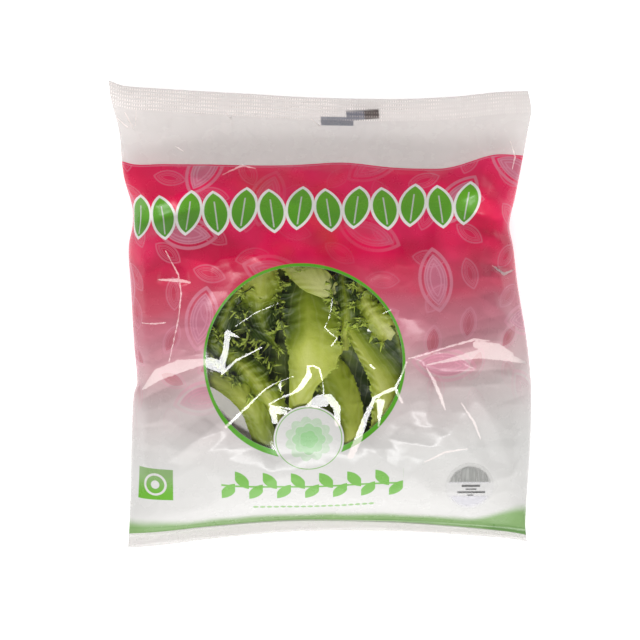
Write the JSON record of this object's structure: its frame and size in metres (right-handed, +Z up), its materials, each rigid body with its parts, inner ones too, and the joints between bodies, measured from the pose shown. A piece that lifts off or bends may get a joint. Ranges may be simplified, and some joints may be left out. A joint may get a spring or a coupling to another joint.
{
  "type": "bag of salad leaves",
  "caption": "Sealed pillow bag of thin printed film, crimped flat at both ends and filled with loose lettuce leaves, lying on its back with a round date label stuck on its front.",
  "frame": {"origin": "on the table, under the middle of the bag's outline", "axes": "+Y towards the end with the deep clear header, +X to the right as the front is looked at, +Z up out of the front"},
  "size_m": [0.2638, 0.2924, 0.061],
  "materials": {
    "printed_film": "thin glossy printed film over green leaves",
    "label_film": "clear glossy label with a grey patch"
  },
  "bodies": {
    "root": {"bag": "printed_film", "date_label": "label_film"}
  },
  "joints": []
}
